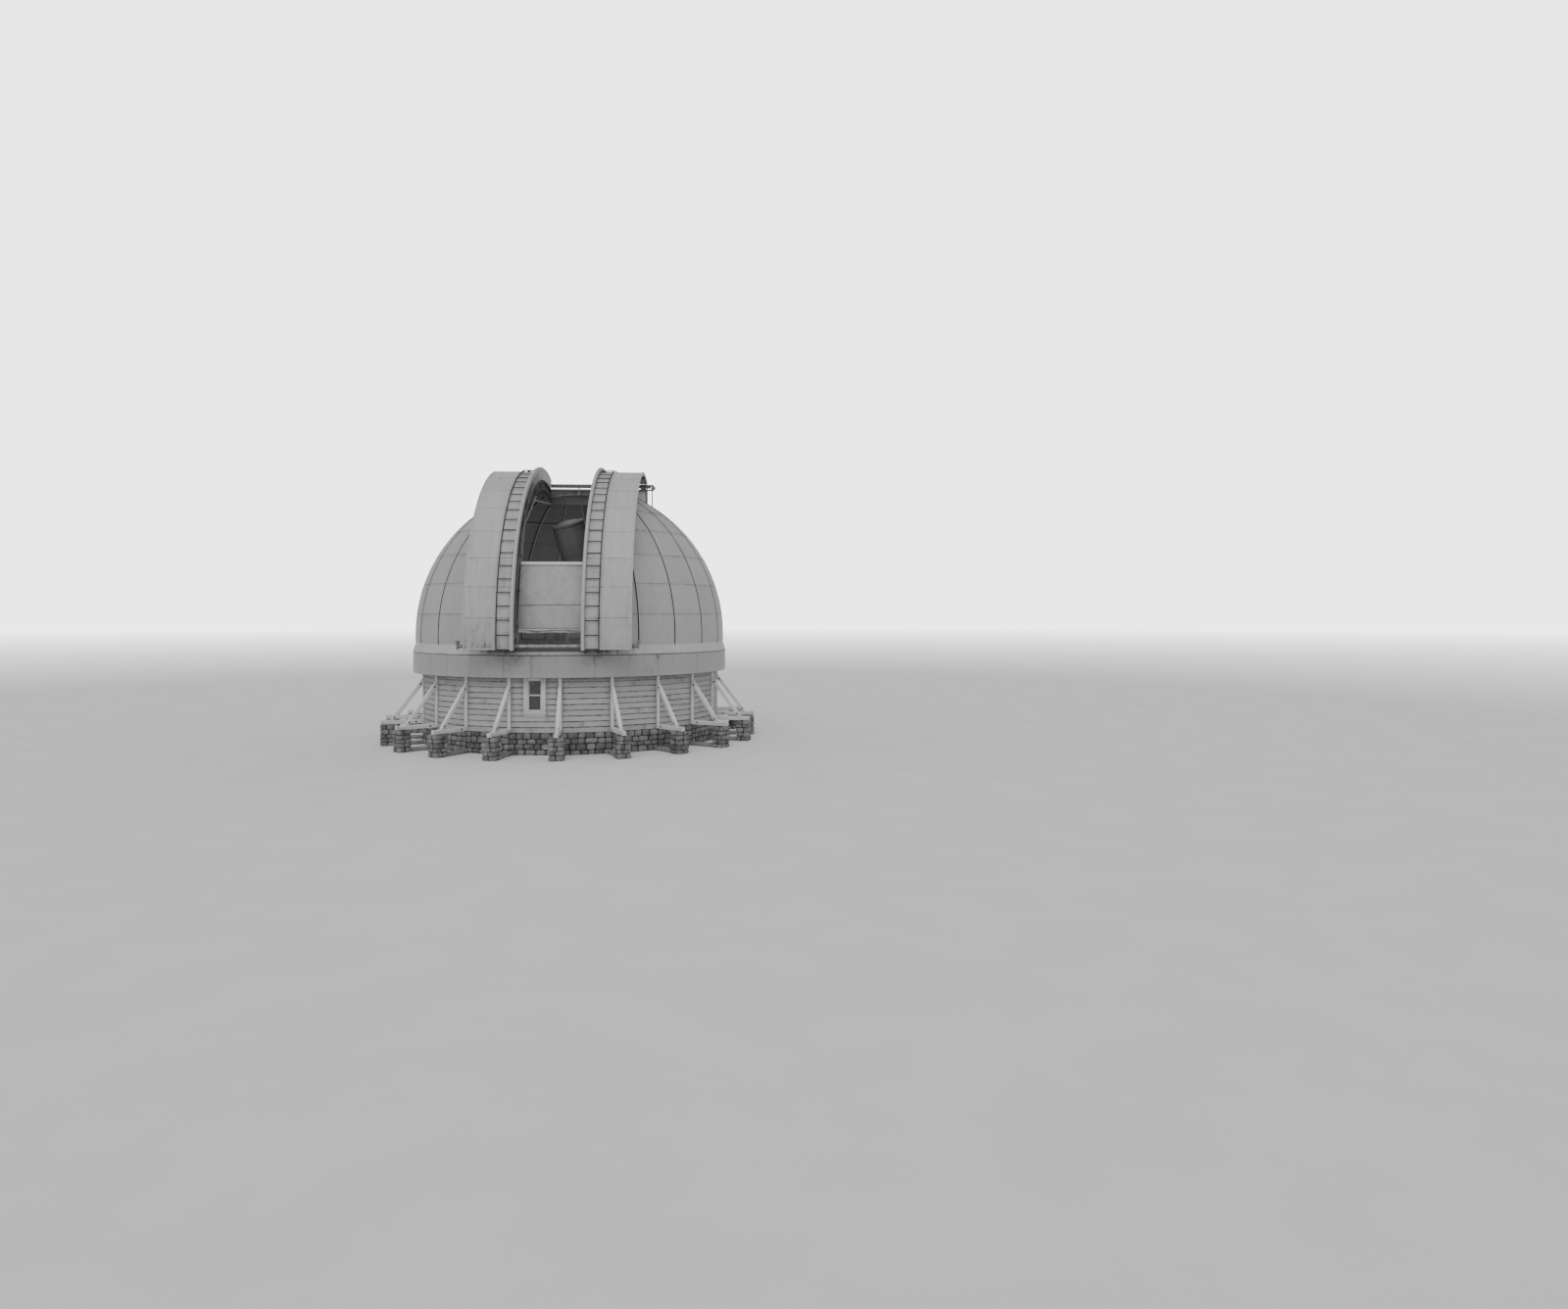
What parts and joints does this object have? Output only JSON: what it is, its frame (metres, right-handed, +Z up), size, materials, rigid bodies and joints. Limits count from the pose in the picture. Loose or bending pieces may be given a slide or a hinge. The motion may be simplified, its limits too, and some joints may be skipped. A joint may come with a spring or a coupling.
{
  "type": "observatory dome with sliding shutters on a braced timber wall",
  "caption": "Rotating hemispherical observatory dome with a shuttered slit, on a low round weatherboard wall with raking timber braces and stone piers.",
  "frame": {"origin": "on the ground at the centre of the round wall, under the axis that the dome turns about", "axes": "+Z up; the slit faces -Y as the dome stands; +X is to the right of someone who faces the slit from outside"},
  "size_m": [11.2048, 11.2048, 8.275],
  "materials": {
    "stone": "rough dry-stacked stone",
    "floor_boards": "bare worn boards",
    "weatherboards": "lapped boards in pale oil paint",
    "painted_timber": "pale oil paint on sawn timber",
    "window_glass": "clear window glass",
    "instrument_paint": "satin dark paint",
    "dark_steel": "dark weathered iron",
    "dark_timber": "dark oiled timber",
    "dome_paint": "weathered grey paint on lapped sheet metal",
    "track_paint": "pale painted steel",
    "shutter_lip_paint": "pale paint on folded sheet metal",
    "canvas": "weathered canvas"
  },
  "bodies": {
    "house": {"stone_footing_front": "stone", "stone_footing_right": "stone", "stone_footing_rear": "stone", "stone_footing_left": "stone", "timber_floor": "floor_boards", "wall_front": "weatherboards", "wall_right": "weatherboards", "wall_rear": "weatherboards", "wall_left": "weatherboards", "window_frame_front": "painted_timber", "window_glass_front": "window_glass", "window_frame_rear": "painted_timber", "window_glass_rear": "window_glass", "timber_frame_front": "painted_timber", "timber_frame_right": "painted_timber", "timber_frame_rear": "painted_timber", "timber_frame_left": "painted_timber", "telescope_pier": "stone", "telescope_tube": "instrument_paint", "telescope_mount": "dark_steel", "ring_rail": "dark_steel"},
    "dome": {"dome_curb": "dark_timber", "dome_skirt": "dome_paint", "shell_right_front": "dome_paint", "shell_right_side": "dome_paint", "shell_right_rear": "dome_paint", "shell_left_rear": "dome_paint", "shell_left_side": "dome_paint", "shell_left_front": "dome_paint", "slit_jamb_right": "painted_timber", "slit_jamb_left": "painted_timber", "slit_header": "dark_timber", "slit_sill": "painted_timber", "top_track": "dark_steel", "rear_apron": "dome_paint", "bottom_track": "track_paint"},
    "right_shutter": {"shutter_panel_right": "dome_paint", "shutter_lip_right": "shutter_lip_paint", "shutter_ladder_right": "dark_steel"},
    "left_shutter": {"shutter_panel_left": "dome_paint", "shutter_lip_left": "shutter_lip_paint", "shutter_ladder_left": "dark_steel"},
    "wind_screen": {"screen_frame": "painted_timber", "screen_canvas": "canvas", "screen_canvas_gathers": "canvas"}
  },
  "joints": [
    {"name": "dome_turn", "type": "hinge", "parent": "house", "child": "dome", "pos_m": [0, 0, 2.365], "axis": [0, 0, 1], "continuous": true},
    {"name": "right_shutter_slide", "type": "slide", "parent": "dome", "child": "right_shutter", "axis": [-1, 0, 0], "range_m": [0, 0.862]},
    {"name": "left_shutter_slide", "type": "slide", "parent": "dome", "child": "left_shutter", "axis": [1, 0, 0], "range_m": [0, 0.862]},
    {"name": "wind_screen_lift", "type": "hinge", "parent": "dome", "child": "wind_screen", "pos_m": [0, 0, 3.19], "axis": [-1, 0, 0], "range_deg": [-2, 60]}
  ],
  "couplings": [
    {"joint": "left_shutter_slide", "follows": "right_shutter_slide", "ratio": 1}
  ]
}
